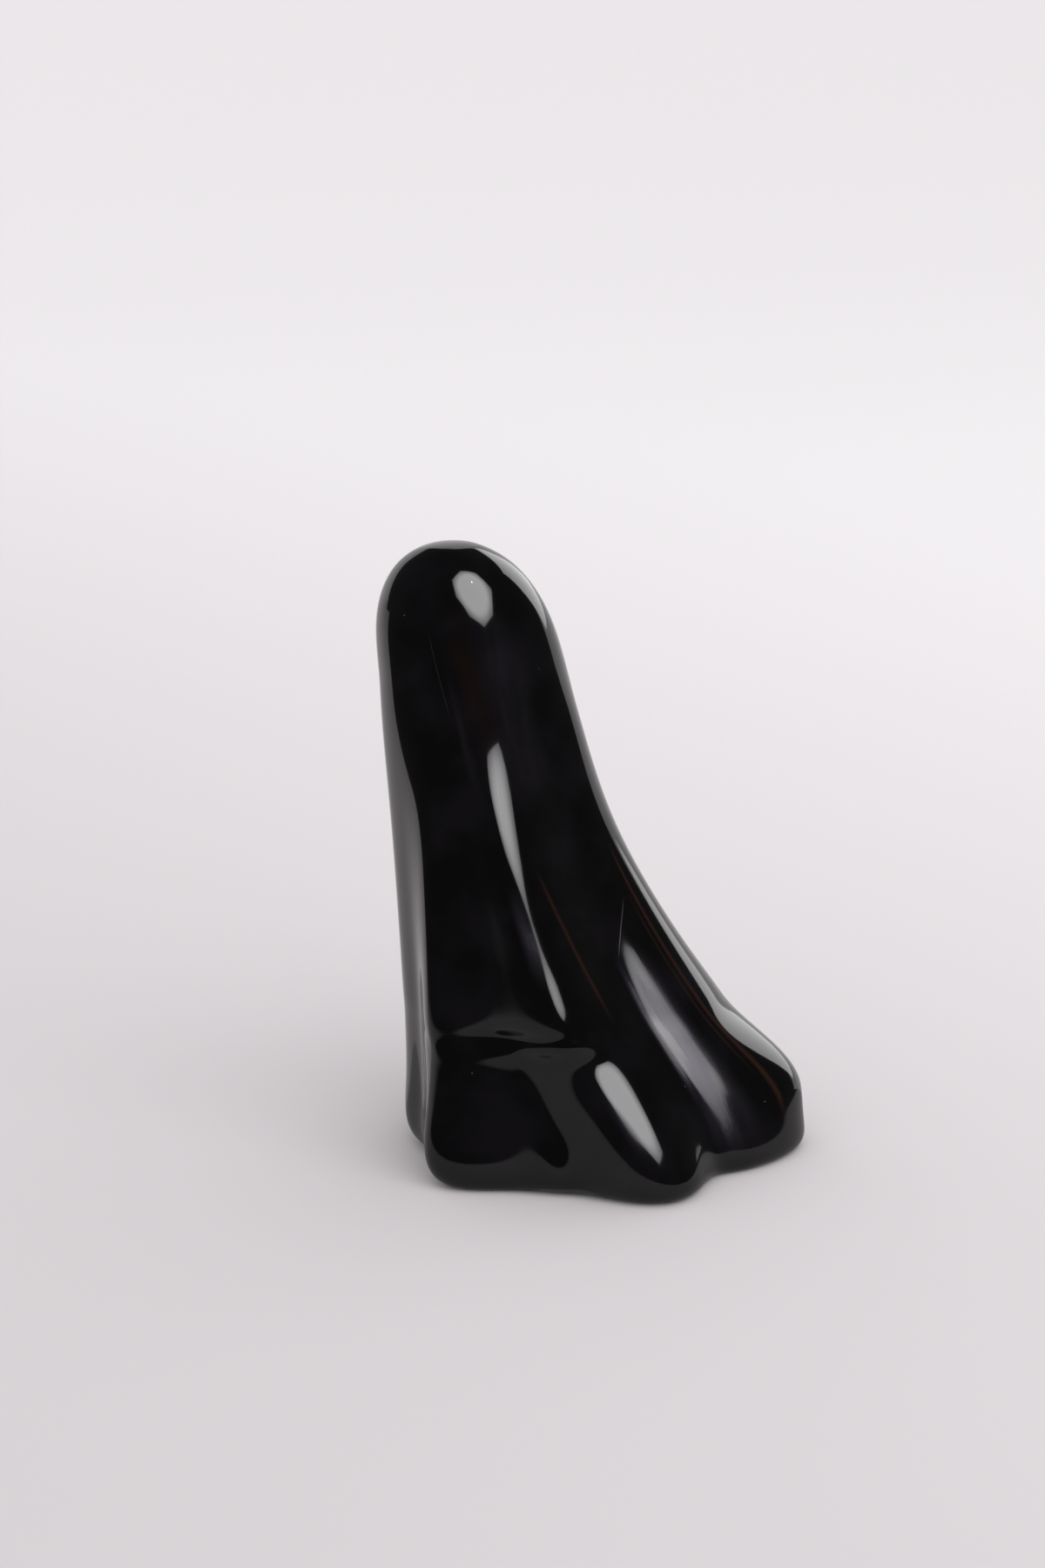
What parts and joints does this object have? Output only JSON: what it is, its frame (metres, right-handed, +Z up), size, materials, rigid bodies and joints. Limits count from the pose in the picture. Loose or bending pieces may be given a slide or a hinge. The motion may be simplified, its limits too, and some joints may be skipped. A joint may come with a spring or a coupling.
{
  "type": "obsidian chunk",
  "caption": "Polished obsidian freeform: a leaning finger of volcanic glass on a flared, fluted foot, resting on a flat sole.",
  "frame": {"origin": "on the flat sole, under the middle of the stone's box", "axes": "+Z up from the sole to the crown, -Y towards the front with the level crease, +X towards the long toe"},
  "size_m": [0.0694, 0.047, 0.0994],
  "materials": {
    "volcanic_glass": "polished, near black, faint brown flow bands"
  },
  "bodies": {
    "root": {"obsidian_chunk": "volcanic_glass"}
  },
  "joints": []
}
